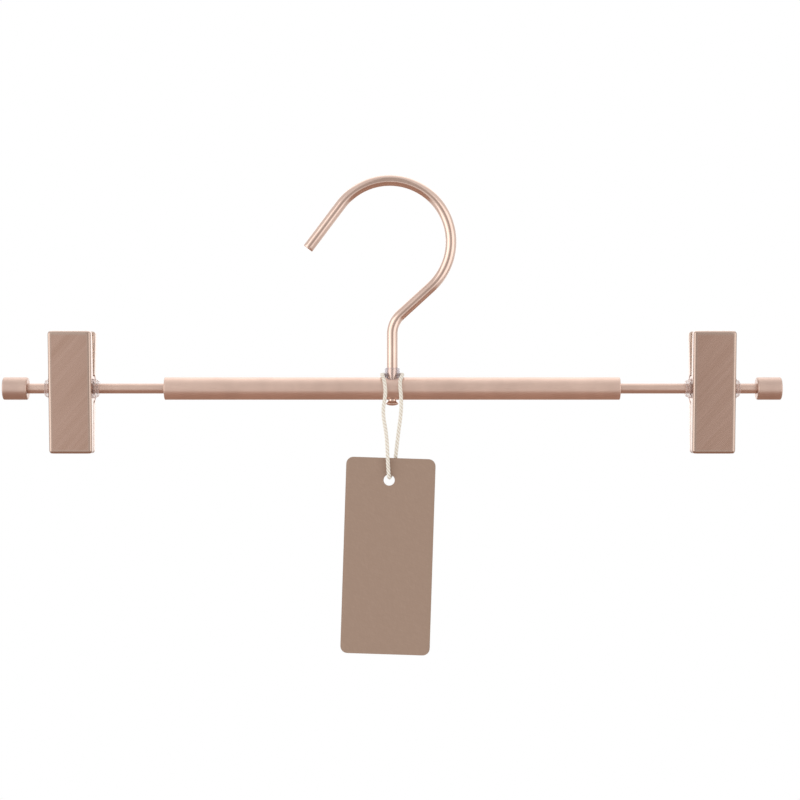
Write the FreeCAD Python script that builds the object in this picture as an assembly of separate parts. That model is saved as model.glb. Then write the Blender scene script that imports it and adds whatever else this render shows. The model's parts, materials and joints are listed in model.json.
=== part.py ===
import FreeCAD
import Part
import math
import os
from FreeCAD import Vector

# Clip hanger: a round bar under a swivelling wire hook, with two spring clips that slide on its ends.
# Millimetres. X runs along the bar, Y away from the viewer, Z up.
# The origin is where a rail touches the inside of the hook, straight above the stem.

# Bar: a thick tube in the middle, a thin rod plugged into each end, a cap on each rod
bar_drop = 81.0
bar_length = 310.8
tube_diameter = 9.0
tube_wall = 1.0
tube_end_bevel = 0.5
rod_diameter = 4.0
rod_run = 54.6
plug_length = 18.0
plug_recess = 0.3
cap_diameter = 9.0
cap_length = 9.8
cap_socket_depth = 7.0
cap_inner_bevel = 0.7
cap_outer_bevel = 0.4
press_gap = 0.02

# Hook: stem, neck bend, slanted run, round bow and straight tip, all of one wire
hook_wire = 4.4
hook_sides = 12
bow_radius = 24.5
bow_offset = -1.0
neck_slant = 47.5
neck_bend_radius = 10.4
tip_turn = 143.0
tip_length = 22.0
tip_bevel = 0.5
tenon_diameter = 3.3
shoulder_gap = 0.15
head_gap = 0.4
head_flare = 1.1
head_diameter = 5.3
head_taper = 0.9
head_foot_diameter = 2.8

# Clear bush round the stem, seated on the tube
stem_clearance = 0.08
collar_wall = 0.7
collar_height = 3.7
collar_bevel = 0.6
neck_wall = 0.4
neck_reach = 0.8

# Clip jaws: sheet pans with ears that turn on the clip's bushes
clip_cap_gap = 6.7
jaw_width = 17.2
jaw_above = 23.3
jaw_below = 25.6
sheet = 0.8
bend_radius = 1.2
jaw_lean = 4.8
top_lip = 4.0
jaw_gap = 1.0
ear_rim = 2.3
ear_plate_gap = 0.5
ear_side_gap = 0.15
ear_notch_gap = 0.4
ear_mouth = 2.9

# Clear bushes: a barrel through the ears, a flange and a hub outside
bush_clearance = 0.05
bush_wall = 0.7
pivot_clearance = 0.08
bush_side_gap = 0.1
flange_diameter = 8.0
flange_thickness = 1.0
hub_diameter = 6.8
hub_length = 1.2
barrel_reach = 0.5

# Torsion spring round the rod, its legs against the inside of the two jaws
spring_wire = 1.1
spring_sides = 8
spring_turns = 2
spring_runs = 20
spring_gap = 0.45
spring_rod_gap = 0.75
spring_reach = 14.0
spring_leg_gap = 0.15

# Ribbed grip pads in the jaws' lower ends
pad_height = 15.0
pad_side_gap = 0.1
pad_meet_gap = 0.3
pad_ribs = 6
pad_groove = 0.6

# Card on a cord loop
tag_width = 35.5
tag_length = 78.0
tag_thickness = 0.6
tag_corner = 2.8
tag_hole = 4.4
tag_hole_drop = 8.8
tag_hole_shift = -0.5
tag_tilt = 1.85
tag_hole_x = -1.2
tag_hole_z = -117.4
tag_y = -5.4
cord_diameter = 1.7
cord_sides = 6
cord_arc_share = 0.45
knot_diameter = 3.9
knot_length = 4.2
knot_sides = 8
knot_bevel = 1.0
tail_length = 7.5
tail_leans = (20.0, 48.0)
knot_point = (0.8, -2.8, -112.6)
cord_route = [
    (0.5, -2.9, -113.4),
    (-0.9, -3.5, -116.4),
    (-1.3, -7.3, -116.4),
    (-1.5, -7.0, -110.0),
    (-2.0, -6.3, -99.5),
    (-3.4, -5.95, -90.5),
    (-2.8, -5.8, -83.2),
    (-3.2, -5.7, -78.7),
    (-4.1, -2.4, -75.3),
    (-4.1, 1.7, -75.2),
    (-1.7, 4.1, -75.1),
    (1.7, 4.1, -75.1),
    (4.1, 1.7, -75.2),
    (4.1, -2.4, -75.3),
    (3.6, -5.7, -78.7),
    (3.8, -5.8, -84.5),
    (3.6, -5.5, -90.5),
    (2.9, -4.7, -99.0),
    (1.9, -3.8, -107.5),
    (0.9, -2.9, -111.8),
]

# Sizes that follow from those above
tube_length = bar_length - 2 * (cap_length + rod_run)
tube_radius = tube_diameter / 2
tube_bore = tube_radius - tube_wall
rod_radius = rod_diameter / 2
hook_radius = hook_wire / 2
stem_bore = hook_radius + stem_clearance
shoulder_height = shoulder_gap - math.sqrt(tube_bore ** 2 - hook_radius ** 2)
tenon_radius = tenon_diameter / 2
bow_height = bar_drop - math.sqrt((bow_radius - hook_radius) ** 2 - bow_offset ** 2)
bush_bore = rod_radius + bush_clearance
barrel_radius = bush_bore + bush_wall
ear_hole = barrel_radius + pivot_clearance
ear_radius = ear_hole + ear_rim
plate_in = ear_radius + ear_plate_gap
plate_out = plate_in + sheet
notch_radius = ear_radius + ear_notch_gap
half_width = jaw_width / 2
ear_outside = half_width - sheet - ear_side_gap
ear_inside = ear_outside - sheet
clip_reach = half_width + bush_side_gap + flange_thickness + hub_length
clip_x = bar_length / 2 - cap_length - clip_cap_gap - clip_reach
lean = math.radians(jaw_lean)
coil_radius = rod_radius + spring_rod_gap + spring_wire / 2
coil_pitch = spring_wire + spring_gap
along_x = Vector(1, 0, 0)
along_y = Vector(0, 1, 0)
along_z = Vector(0, 0, 1)
centre = Vector(0, 0, 0)


def solid_of_turn(outline, axis):
    """Turns a closed outline of edges once round an axis through the origin."""
    return Part.Face(Part.Wire(outline)).revolve(centre, axis, 360)


def line(a, b):
    return Part.LineSegment(a, b).toShape()


def arc(a, through, b):
    return Part.Arc(a, through, b).toShape()


def closed_lines(points):
    return Part.makePolygon(points + points[:1]).Edges


def rod_along_x(radius, start, end):
    return Part.makeCylinder(radius, end - start, Vector(start, 0, 0), along_x)


def bevel_rims(shape, size, places):
    """Bevels the circular edges of a turned shape that lie at the given x and radius."""
    picked = []
    for edge in shape.Edges:
        if not isinstance(edge.Curve, Part.Circle):
            continue
        for x, radius in places:
            if abs(edge.CenterOfMass.x - x) < 1e-6 and abs(edge.Curve.Radius - radius) < 1e-6:
                picked.append(edge)
    return shape.makeChamfer(size, picked)


def on_side(shape, side):
    """Shapes are drawn for the right end of the bar; the left one is turned half round."""
    placed = shape.copy()
    if side < 0:
        placed.rotate(centre, along_z, 180)
    return placed


def on_bar(shape, x=0):
    """Moves a shape drawn about the bar's middle to the bar's place under the hook."""
    placed = shape.copy()
    placed.translate(Vector(x, 0, -bar_drop))
    return placed


def swept(edges, ring, mitred=False):
    """A section, drawn about the Z axis, carried along a path that is smooth, or mitred at its corners."""
    path = Part.Wire(edges)
    start = path.Edges[0]
    section = ring.copy()
    turn = FreeCAD.Rotation(along_z, start.tangentAt(start.FirstParameter))
    section.Placement = FreeCAD.Placement(start.valueAt(start.FirstParameter), turn)
    return path.makePipeShell([section], True, False, int(mitred))


def wire_section(diameter, sides):
    """A wire's round section as a regular polygon of the same area, so that the wire keeps its volume."""
    step = 2 * math.pi / sides
    radius = diameter / 2 * math.sqrt(step / math.sin(step))
    points = [Vector(math.cos(step * n), math.sin(step * n), 0) * radius for n in range(sides)]
    return Part.makePolygon(points + points[:1])


def make_hook():
    """Stem up from its shoulder, neck bend, slanted run, bow over the top and straight tip."""
    slant = math.radians(neck_slant)
    turn = math.radians(tip_turn)
    bow = Vector(bow_offset, 0, bow_height)
    bow_start = bow + Vector(math.cos(slant), 0, -math.sin(slant)) * bow_radius
    down_slant = Vector(-math.sin(slant), 0, -math.cos(slant))
    corner = bow_start + down_slant * (bow_start.x / math.sin(slant))
    setback = neck_bend_radius * math.tan(slant / 2)
    neck_start = corner - along_z * setback
    neck_end = corner - down_slant * setback
    half = slant / 2
    neck_middle = neck_start + Vector(1 - math.cos(half), 0, math.sin(half)) * neck_bend_radius
    bow_end = bow + Vector(math.cos(turn), 0, math.sin(turn)) * bow_radius
    bow_top = bow + along_z * bow_radius
    tip = bow_end + Vector(-math.sin(turn), 0, math.cos(turn)) * tip_length
    path = [
        line(along_z * shoulder_height, neck_start),
        arc(neck_start, neck_middle, neck_end),
        line(neck_end, bow_start),
        arc(bow_start, bow_top, bow_end),
        line(bow_end, tip),
    ]
    wire = swept(path, wire_section(hook_wire, hook_sides))
    tip_face = min(wire.Faces, key=lambda face: face.CenterOfMass.distanceToPoint(tip))
    wire = wire.makeChamfer(tip_bevel, tip_face.Edges)
    return wire.fuse(make_tenon()).removeSplitter()


def make_tenon():
    """Thinner end of the stem below its shoulder, through the tube's lower wall, peened to a head."""
    flare_top = -tube_radius - head_gap
    rim = flare_top - head_flare
    foot = rim - head_taper
    points = [
        Vector(0, 0, shoulder_height),
        Vector(tenon_radius, 0, shoulder_height),
        Vector(tenon_radius, 0, flare_top),
        Vector(head_diameter / 2, 0, rim),
        Vector(head_foot_diameter / 2, 0, foot),
        Vector(0, 0, foot),
    ]
    return solid_of_turn(closed_lines(points), along_z)


def make_hook_bush():
    """Collar on the tube's crown, with a thin neck down through the tube's upper wall."""
    collar = stem_bore + collar_wall
    neck = stem_bore + neck_wall
    top = tube_radius + collar_height
    foot = tube_bore - neck_reach
    points = [
        Vector(stem_bore, 0, foot),
        Vector(neck, 0, foot),
        Vector(neck, 0, tube_radius),
        Vector(collar, 0, tube_radius),
        Vector(collar, 0, top - collar_bevel),
        Vector(collar - collar_bevel, 0, top),
        Vector(stem_bore, 0, top),
    ]
    return solid_of_turn(closed_lines(points), along_z)


def make_tube():
    """Straight tube with bevelled ends, a hole above for the bush and one below for the stem's tenon."""
    half = tube_length / 2
    body = rod_along_x(tube_radius, -half, half)
    body = bevel_rims(body, tube_end_bevel, [(-half, tube_radius), (half, tube_radius)])
    body = body.cut(rod_along_x(tube_bore, -half, half))
    upper = Part.makeCylinder(stem_bore + neck_wall + press_gap, tube_radius)
    lower = Part.makeCylinder(tenon_radius + stem_clearance, tube_radius, centre, -along_z)
    return body.cut(upper.fuse(lower))


def make_plug():
    end = tube_length / 2 - plug_recess
    start = end - plug_length
    body = rod_along_x(tube_bore - press_gap, start, end)
    return body.cut(rod_along_x(rod_radius + press_gap, start, end))


def make_rod():
    start = tube_length / 2 - plug_recess - plug_length
    end = bar_length / 2 - cap_length + cap_socket_depth
    return rod_along_x(rod_radius, start, end)


def make_cap():
    """Turned cap with a blind socket for the rod."""
    end = bar_length / 2
    start = end - cap_length
    body = rod_along_x(cap_diameter / 2, start, end)
    body = bevel_rims(body, cap_inner_bevel, [(start, cap_diameter / 2)])
    body = bevel_rims(body, cap_outer_bevel, [(end, cap_diameter / 2)])
    return body.cut(rod_along_x(rod_radius + press_gap, start, start + cap_socket_depth))


def mid_plane_y(height, gap):
    """Where a jaw drawn upright meets its half of the gap between the leaned jaws."""
    return (-gap / 2 + height * math.sin(lean)) / math.cos(lean)


def jaw_side():
    """Side view of an upright jaw: plate at the left, ear round the pivot, edges along the gap."""
    mouth = ear_mouth / 2
    upper = Vector(0, -mouth, math.sqrt(ear_radius ** 2 - mouth ** 2))
    lower_y = mid_plane_y(-ear_radius, jaw_gap)
    lower = Vector(0, lower_y, -math.sqrt(ear_radius ** 2 - lower_y ** 2))
    top_edge = Vector(0, top_lip - plate_out, jaw_above)
    low_edge = Vector(0, mid_plane_y(-jaw_below, jaw_gap), -jaw_below)
    edges = [
        line(Vector(0, -plate_out, jaw_above), top_edge),
        line(top_edge, upper),
        arc(upper, Vector(0, ear_radius, 0), lower),
        line(lower, low_edge),
        line(low_edge, Vector(0, -plate_out, -jaw_below)),
        line(Vector(0, -plate_out, -jaw_below), Vector(0, -plate_out, jaw_above)),
    ]
    return Part.Face(Part.Wire(edges))


def slab(face, start, end):
    """Pushes a side view sideways, from one x to another."""
    placed = face.copy()
    placed.translate(Vector(start, 0, 0))
    return placed.extrude(Vector(end - start, 0, 0))


def rounded_plate(block):
    """Rounds the folds round the plate's outer face."""
    plate = min(block.Faces, key=lambda face: face.CenterOfMass.y)
    return block.makeFillet(bend_radius, plate.Edges)


def make_jaw(inner_ears):
    """Sheet pan with rounded folds; the second jaw's ears are pressed inwards to pass the first's."""
    side = jaw_side()
    block = slab(side, -half_width, half_width)
    pan = rounded_plate(block)
    inner_width = half_width - sheet
    hollow = Part.makeBox(
        2 * inner_width,
        plate_in + 2 * ear_radius,
        jaw_above + jaw_below - 2 * sheet,
        Vector(-inner_width, -plate_in, sheet - jaw_below),
    )
    pan = pan.cut(hollow)
    if inner_ears:
        outer_disc = Part.Face(Part.Wire(Part.makeCircle(notch_radius + sheet, centre, along_x)))
        inner_disc = Part.Face(Part.Wire(Part.makeCircle(notch_radius, centre, along_x)))
        ear = side.common(outer_disc).Faces[0]
        step = ear.cut(inner_disc)
        for hand in (-1, 1):
            notch = rod_along_x(notch_radius, *sorted((hand * inner_width, hand * (half_width + sheet))))
            pan = pan.cut(notch)
            pan = pan.fuse(slab(ear, hand * ear_inside, hand * ear_outside))
            for face in step.Faces:
                pan = pan.fuse(slab(face, hand * ear_outside, hand * inner_width))
        pan = pan.removeSplitter()
    pan = pan.cut(rod_along_x(ear_hole, -jaw_width, jaw_width))
    return pan


def make_pad():
    """Block on the plate's inside, with a row of ribs whose crests lie along the gap between the jaws."""
    low = bend_radius + pad_side_gap - jaw_below
    high = low + pad_height
    pitch = pad_height / pad_ribs
    points = [Vector(0, -plate_in, low)]
    for number in range(pad_ribs):
        foot = low + pitch * number
        for height, depth in ((foot, pad_groove), (foot + pitch / 2, 0)):
            points.append(Vector(0, mid_plane_y(height, pad_meet_gap) - depth, height))
    points.append(Vector(0, mid_plane_y(high, pad_meet_gap) - pad_groove, high))
    points.append(Vector(0, -plate_in, high))
    half = half_width - bend_radius - pad_side_gap
    return slab(Part.Face(Part.makePolygon(points + points[:1])), -half, half)


def leaned(shape, back):
    """Leans an upright front jaw's piece to its closed place, or turns it to the back jaw's."""
    placed = shape.copy()
    placed.rotate(centre, along_x, jaw_lean)
    if back:
        placed.rotate(centre, along_z, 180)
    return placed


def make_bush():
    """Bush of the clip's right side: bore on the rod, barrel in the ears, flange and hub outside."""
    barrel_start = ear_inside - barrel_reach
    flange_start = half_width + bush_side_gap
    flange_end = flange_start + flange_thickness
    points = [
        Vector(barrel_start, bush_bore, 0),
        Vector(barrel_start, barrel_radius, 0),
        Vector(flange_start, barrel_radius, 0),
        Vector(flange_start, flange_diameter / 2, 0),
        Vector(flange_end, flange_diameter / 2, 0),
        Vector(flange_end, hub_diameter / 2, 0),
        Vector(clip_reach, hub_diameter / 2, 0),
        Vector(clip_reach, bush_bore, 0),
    ]
    return solid_of_turn(closed_lines(points), along_x)


def make_spring():
    """Leg down the front jaw, close turns round the rod, and a leg up the back jaw."""
    foot_y = -(plate_in - spring_wire / 2 - spring_leg_gap)
    foot = Vector(
        0,
        foot_y * math.cos(lean) - spring_reach * math.sin(lean),
        foot_y * math.sin(lean) + spring_reach * math.cos(lean),
    )
    reach = math.hypot(foot.y, foot.z)
    # Angles run from the top towards the front and on under the rod
    leave = math.atan2(-foot.y, foot.z) + math.acos(coil_radius / reach)
    sweep = 2 * (math.pi - leave) + 2 * math.pi * spring_turns
    rise = coil_pitch / (2 * math.pi)
    # A leg is as long as the tangent from the turns to its foot
    leg_angle = math.sqrt(reach ** 2 - coil_radius ** 2) / coil_radius

    def turn_point(angle):
        along = rise * (angle - leave - sweep / 2)
        return Vector(along, -coil_radius * math.sin(angle), coil_radius * math.cos(angle))

    def turn_heading(angle):
        return Vector(rise, -coil_radius * math.cos(angle), -coil_radius * math.sin(angle))

    end = leave + sweep
    runs = round(spring_runs * sweep / (2 * math.pi))
    turns = [turn_point(leave + sweep * number / runs) for number in range(runs + 1)]
    first_foot = turns[0] - turn_heading(leave) * leg_angle
    last_foot = turns[-1] + turn_heading(end) * leg_angle
    report_least_gap("spring", turns, spring_wire, spring_runs * 3 // 4)
    path = Part.makePolygon([first_foot] + turns + [last_foot])
    return swept(path.Edges, wire_section(spring_wire, spring_sides), True)


def report_least_gap(name, points, wire, apart):
    """Prints the least gap between points that are a good way apart along the wire."""
    least = min(a.distanceToPoint(b) for n, a in enumerate(points) for b in points[n + apart:])
    print(f"{name}: least gap to itself {least - wire:.2f} mm")


def make_tag():
    """Card with round corners and a punched hole, drawn upright about its hole, then tilted."""
    half = tag_width / 2
    card = Part.makeBox(
        tag_width,
        tag_thickness,
        tag_length,
        Vector(-half - tag_hole_shift, -tag_thickness / 2, tag_hole_drop - tag_length),
    )
    corners = [e for e in card.Edges if abs(e.tangentAt(e.FirstParameter).y) > 0.5]
    card = card.makeFillet(tag_corner, corners)
    hole = Part.makeCylinder(tag_hole / 2, tag_thickness, Vector(0, -tag_thickness / 2, 0), along_y)
    card = card.cut(hole)
    card.rotate(centre, along_y, tag_tilt)
    card.translate(Vector(tag_hole_x, tag_y, tag_hole_z))
    return card


def make_cord():
    """Tube along the route: straight runs joined by arcs as large as the shorter run allows."""
    points = [Vector(*p) for p in cord_route]
    edges = []
    radii = []
    last = points[0]
    for before, here, after in zip(points, points[1:], points[2:]):
        back = before - here
        ahead = after - here
        half = (math.pi - back.getAngle(ahead)) / 2
        setback = cord_arc_share * min(back.Length, ahead.Length)
        radius = setback / math.tan(half)
        bend_start = here + back.normalize() * setback
        bend_end = here + ahead.normalize() * setback
        inward = (back + ahead).normalize()
        middle = here + inward * (radius / math.cos(half) - radius)
        edges += [line(last, bend_start), arc(bend_start, middle, bend_end)]
        radii.append(radius)
        last = bend_end
    edges.append(line(last, points[-1]))
    length = sum(e.Length for e in edges)
    cord = swept(edges, wire_section(cord_diameter, cord_sides))
    ideal = math.pi * (cord_diameter / 2) ** 2 * length
    print("cord: radii " + " ".join(f"{r:.1f}" for r in radii))
    print(f"cord: length {length:.1f} mm, volume over section times length {cord.Volume / ideal:.4f}")
    return cord


def make_knot():
    """Drawn-up knot as a bevelled barrel, with its two cut tails hanging from it."""
    knot = Part.Face(wire_section(knot_diameter, knot_sides)).extrude(along_z * knot_length)
    knot.translate(along_z * (-knot_length / 2))
    knot = knot.makeChamfer(knot_bevel, [e for e in knot.Edges if abs(e.tangentAt(0).z) < 0.5])
    for lean_right in tail_leans:
        tail = Part.Face(wire_section(cord_diameter, cord_sides)).extrude(along_z * -tail_length)
        tail.rotate(centre, along_y, -lean_right)
        knot = knot.fuse(tail)
    knot.translate(Vector(*knot_point))
    return knot


def export(name, shape):
    shape.exportStep(f"parts/{name}.step")


def main():
    os.makedirs("parts", exist_ok=True)
    export("hook", on_bar(make_hook()))
    export("hook_bush", on_bar(make_hook_bush()))
    export("centre_tube", on_bar(make_tube()))
    front_jaw = leaned(make_jaw(False), False)
    back_jaw = leaned(make_jaw(True), True)
    pad = make_pad()
    bush = make_bush()
    spring = make_spring()
    for side, hand in ((-1, "left"), (1, "right")):
        export(f"tube_plug_{hand}", on_bar(on_side(make_plug(), side)))
        export(f"rod_{hand}", on_bar(on_side(make_rod(), side)))
        export(f"end_cap_{hand}", on_bar(on_side(make_cap(), side)))
        x = side * clip_x
        export(f"front_jaw_{hand}", on_bar(front_jaw, x))
        export(f"back_jaw_{hand}", on_bar(back_jaw, x))
        export(f"front_pad_{hand}", on_bar(leaned(pad, False), x))
        export(f"back_pad_{hand}", on_bar(leaned(pad, True), x))
        export(f"clip_spring_{hand}", on_bar(spring, x))
        export(f"outer_bush_{hand}", on_bar(on_side(bush, side), x))
        export(f"inner_bush_{hand}", on_bar(on_side(bush, -side), x))
    export("swing_tag", make_tag())
    export("tag_cord", make_cord())
    export("cord_knot", make_knot())


main()
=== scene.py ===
import json
import math

import bmesh
import bpy
import numpy as np
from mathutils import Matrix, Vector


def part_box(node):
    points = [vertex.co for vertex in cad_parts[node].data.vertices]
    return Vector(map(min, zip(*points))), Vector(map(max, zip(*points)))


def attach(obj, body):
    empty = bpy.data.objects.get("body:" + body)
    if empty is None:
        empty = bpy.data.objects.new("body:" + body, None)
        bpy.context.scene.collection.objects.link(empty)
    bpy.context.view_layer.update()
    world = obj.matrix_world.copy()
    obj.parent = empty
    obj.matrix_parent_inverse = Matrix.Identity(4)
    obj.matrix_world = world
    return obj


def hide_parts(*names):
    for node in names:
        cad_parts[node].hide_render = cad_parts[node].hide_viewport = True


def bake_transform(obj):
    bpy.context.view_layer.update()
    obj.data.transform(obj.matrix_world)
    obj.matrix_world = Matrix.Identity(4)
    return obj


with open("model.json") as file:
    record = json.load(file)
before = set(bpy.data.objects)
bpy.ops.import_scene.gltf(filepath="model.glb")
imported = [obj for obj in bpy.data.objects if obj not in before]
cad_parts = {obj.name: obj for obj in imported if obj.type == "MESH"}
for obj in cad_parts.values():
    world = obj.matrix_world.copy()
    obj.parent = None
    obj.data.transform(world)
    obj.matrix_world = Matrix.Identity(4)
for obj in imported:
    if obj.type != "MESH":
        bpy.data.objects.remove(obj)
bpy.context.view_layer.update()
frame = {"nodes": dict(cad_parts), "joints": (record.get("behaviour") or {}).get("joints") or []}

mm = 0.001
fullTurn = 2 * math.pi
jointSpots = {joint["name"]: joint.get("pos_m") for joint in frame["joints"]}
barZ = jointSpots["hook_swivel"][2]
clipX = jointSpots["right_clip_tilt"][0]
sides = (("left", -1), ("right", 1))
jaws = [(hand, side * clipX, word, word == "back") for hand, side in sides for word in ("front", "back")]
print("frame loaded, bar at", barZ, "clips at", clipX)

# camera straight in front, a little lower than the bar, with 320 mm across in view at the bar
cameraSet = {"x": 0.0031, "back": 0.78, "z": -0.0856, "lens": 87.75}


# an object made from its data and linked to the scene
def addObject(name, data):
    made = bpy.data.objects.new(name, data)
    bpy.context.collection.objects.link(made)
    return made


# the camera looks level along +Y from its place in front of the bar
def placeCamera(look):
    data = bpy.data.cameras.new("frontCamera")
    data.lens = look["lens"]
    camera = addObject("frontCamera", data)
    camera.location = (look["x"], -look["back"], look["z"])
    camera.rotation_euler = (math.radians(90), 0, 0)
    bpy.context.scene.camera = camera


placeCamera(cameraSet)
bpy.context.scene.view_settings.view_transform = "Standard"
print("camera placed")


# each vector divided by its length
def unit(vectors):
    return vectors / np.linalg.norm(vectors, axis=-1, keepdims=True)


# a share held between 0 and 1 and eased at both ends: three times its square less twice its cube
def smoothStep(share):
    share = np.clip(share, 0, 1)
    return share * share * (3 - 2 * share)


# lengths walked along one way of a grid, averaged over the other way
def walked(grid, way, closed):
    ends = np.take(grid, [0], axis=way)
    steps = np.diff(np.concatenate([grid, ends], axis=way) if closed else grid, axis=way)
    lengths = np.linalg.norm(steps, axis=-1).mean(axis=1 - way)
    return np.concatenate([[0], np.cumsum(lengths)])


# a grid of points, rows by columns, becomes quads that run across the columns, then up the rows; the columns
# close on themselves, and the rows close too, stay open, or are capped by a fan to the middle of each end;
# the map is in metres walked, and each mark is a share from 0 to 1 at every point, for the finish to read
def gridSurface(grid, closeRows=False, capped=False, marks=None):
    rows, cols = grid.shape[:2]
    row, col = np.meshgrid(np.arange(rows if closeRows else rows - 1), np.arange(cols), indexing="ij")
    nextRow, nextCol = (row + 1) % rows, (col + 1) % cols
    corners = (row * cols + col, row * cols + nextCol, nextRow * cols + nextCol, nextRow * cols + col)
    up, over = walked(grid, 0, closeRows), walked(grid, 1, True)
    quadMap = (over[col], up[row], over[col + 1], up[row],
               over[col + 1], up[row + 1], over[col], up[row + 1])
    points = [grid.reshape(-1, 3)]
    marks = {name: np.broadcast_to(share, (rows, cols)) for name, share in (marks or {}).items()}
    marked = {name: [share.ravel()] for name, share in marks.items()}
    tris, triMap = [np.zeros((0, 3), int)], [np.zeros((0, 6))]
    ring, nextRing = np.arange(cols), (np.arange(cols) + 1) % cols
    for end in (0, rows - 1) if capped else ():
        pole = np.full(cols, sum(len(p) for p in points))
        points.append(grid[end].mean(0, keepdims=True))
        for name, share in marks.items():
            marked[name].append([share[end].mean()])
        first, second = end * cols + ring, end * cols + nextRing
        tris.append(np.stack([pole, second, first] if end == 0 else [pole, first, second], -1))
        middle = np.full(cols, up[end])
        triMap.append(np.stack([over[:-1], middle, over[1:], middle, over[:-1], middle], -1))
    return {
        "points": np.concatenate(points),
        "quads": np.stack(corners, -1).reshape(-1, 4),
        "tris": np.concatenate(tris),
        "map": np.concatenate([np.stack(quadMap, -1).ravel(), np.concatenate(triMap).ravel()]),
        "marks": {name: np.concatenate(shares) for name, shares in marked.items()},
    }


sharpAngle = math.radians(48)


# grids side by side in one mesh, smooth apart from edges sharper than the angle above
def makeMesh(name, surfaces, finish):
    first = np.cumsum([0] + [len(s["points"]) for s in surfaces])
    points = np.concatenate([s["points"] for s in surfaces])
    corners = np.concatenate([np.concatenate([(s["quads"] + f).ravel(), (s["tris"] + f).ravel()])
                              for s, f in zip(surfaces, first)])
    sizes = np.concatenate([[4] * len(s["quads"]) + [3] * len(s["tris"]) for s in surfaces]).astype(int)
    mesh = bpy.data.meshes.new(name)
    mesh.vertices.add(len(points))
    mesh.vertices.foreach_set("co", points.ravel())
    mesh.loops.add(len(corners))
    mesh.loops.foreach_set("vertex_index", corners.astype(np.int32))
    mesh.polygons.add(len(sizes))
    mesh.polygons.foreach_set("loop_start", (np.cumsum(sizes) - sizes).astype(np.int32))
    mesh.polygons.foreach_set("use_smooth", np.ones(len(sizes), bool))
    mesh.update(calc_edges=True)
    surfaceMap = np.concatenate([s["map"] for s in surfaces])
    mesh.uv_layers.new(name="UVMap").data.foreach_set("uv", surfaceMap)
    for mark in surfaces[0]["marks"]:
        shares = np.concatenate([s["marks"][mark] for s in surfaces]).astype(np.float32)
        mesh.attributes.new(mark, "FLOAT", "POINT").data.foreach_set("value", shares)
    mesh.validate()
    mesh.set_sharp_from_angle(angle=sharpAngle)
    mesh.materials.append(finish)
    return mesh


# a mesh of those surfaces as a piece with its finish, its body and the nodes that it stands for
def makePiece(name, surfaces, finish, body=None, stands=()):
    piece = addObject(name, makeMesh(name, surfaces, finish))
    if body:
        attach(piece, body)
    if stands:
        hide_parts(*stands)
    return piece


# an outline of corners (along, out, radius): each radius becomes an arc from tangent to tangent,
# with one more point a share of the radius outside each end to keep the flats flat
def roundedOutline(corners, steps=5, flatShare=0.15):
    spots = np.array([corner[:2] for corner in corners], float)
    run = []
    for k, corner in enumerate(corners):
        radius = corner[2] if len(corner) > 2 else 0
        if radius == 0:
            run.append(spots[k:k + 1])
            continue
        back = unit(spots[k - 1] - spots[k])
        ahead = unit(spots[(k + 1) % len(spots)] - spots[k])
        half = math.acos(np.clip(back @ ahead, -1, 1)) / 2
        setback = radius / math.tan(half)
        middle = spots[k] + unit(back + ahead) * radius / math.sin(half)
        start, end = spots[k] + back * setback, spots[k] + ahead * setback
        sweep = math.pi - 2 * half
        turn = np.linspace(0, sweep, steps + 1)[:, None]
        spokes = (start - middle) * np.sin(sweep - turn) + (end - middle) * np.sin(turn)
        before, after = back * radius * flatShare, ahead * radius * flatShare
        run += [start[None] + before, middle + spokes / math.sin(sweep), end[None] + after]
    return np.concatenate(run)


# unit vectors at angles from the first axis towards the second
def polar(angle):
    return np.stack([np.cos(angle), np.sin(angle)], -1)


# points (x, z) stood up at a depth, as (x, depth, z)
def upright(spots, depth=0.0):
    return np.stack([spots[:, 0], depth + 0 * spots[:, 0], spots[:, 1]], -1)


# an outline (along, out) in mm turned round an axis: each point is centre + along * axis + out * (cos, sin)
def turned(outline, axis, centre, around=64, **closing):
    turn = np.linspace(0, fullTurn, around, endpoint=False)
    axes = {"x": ((1, 0, 0), (0, 1, 0), (0, 0, 1)), "z": ((0, 0, 1), (1, 0, 0), (0, 1, 0))}
    on, right, up = (np.array(v, float) for v in axes[axis])
    outline = np.asarray(outline)[:, None, :, None]
    ring = np.cos(turn)[:, None] * right + np.sin(turn)[:, None] * up
    grid = (outline[:, :, 0] * on + outline[:, :, 1] * ring) * mm + np.array(centre)
    return gridSurface(grid, **closing)


# a round wire: ring k holds path point k + radius k * (cos a * right + sin a * up)
def wireGrid(path, right, up, radii, around):
    turn = np.linspace(0, fullTurn, around, endpoint=False)[None, :, None]
    radii = np.broadcast_to(np.asarray(radii, float), len(path))[:, None, None]
    return path[:, None] + radii * (np.cos(turn) * right[:, None] + np.sin(turn) * up[:, None])


# directions square to a path that don't spin about it: a side found from a fixed direction that the path
# never takes, turned back by the spin it has picked up so far
def pathSides(path, fixed):
    ahead = unit(np.gradient(path, axis=0))
    right = unit(np.cross(np.array(fixed, float), ahead))
    up = np.cross(ahead, right)
    spin = np.sum(np.diff(right, axis=0) * (up[1:] + up[:-1]) / 2, axis=1)
    undo = -np.concatenate([[0], np.cumsum(spin)])[:, None]
    return np.cos(undo) * right + np.sin(undo) * up, np.cos(undo) * up - np.sin(undo) * right


# points the same distance apart along a line
def evenPoints(line, count):
    length = np.concatenate([[0], np.cumsum(np.linalg.norm(np.diff(line, axis=0), axis=1))])
    wanted = np.linspace(0, length[-1], count)
    return np.stack([np.interp(wanted, length, line[:, k]) for k in range(line.shape[1])], -1)


# each socket is given a value, or a link from another node's socket
def feed(tree, node, values):
    for key, value in values.items():
        if isinstance(value, bpy.types.NodeSocket):
            tree.links.new(value, node.inputs[key])
        else:
            node.inputs[key].default_value = value


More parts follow.
